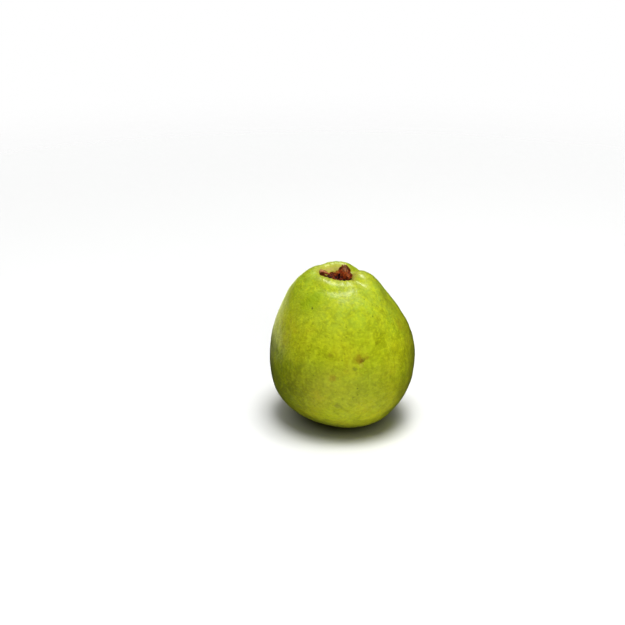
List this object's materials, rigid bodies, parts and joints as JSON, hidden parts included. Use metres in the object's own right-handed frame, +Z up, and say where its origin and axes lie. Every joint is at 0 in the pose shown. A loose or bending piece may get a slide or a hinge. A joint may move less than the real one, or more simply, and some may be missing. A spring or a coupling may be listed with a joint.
{
  "type": "guava",
  "caption": "Whole green guava standing on its stem end, with a lobed crown, a dried brown calyx in its hollow, and a stem stub recessed in the folds underneath.",
  "frame": {"origin": "on the surface that the fruit rests on, under the middle of its box", "axes": "+Z up, from the stem end to the calyx; -Y is the face with the lowest lip of the crown and +X is the side with the high shoulder"},
  "size_m": [0.0744, 0.0732, 0.0819],
  "materials": {
    "skin": "waxy yellow-green skin, finely dimpled, with an olive mottle and a few brown specks",
    "calyx": "dry, crinkled, red-brown",
    "stem": "dry dark bark with a paler cut end"
  },
  "bodies": {
    "root": {"fruit": "skin", "calyx": "calyx", "stem": "stem"}
  },
  "joints": []
}
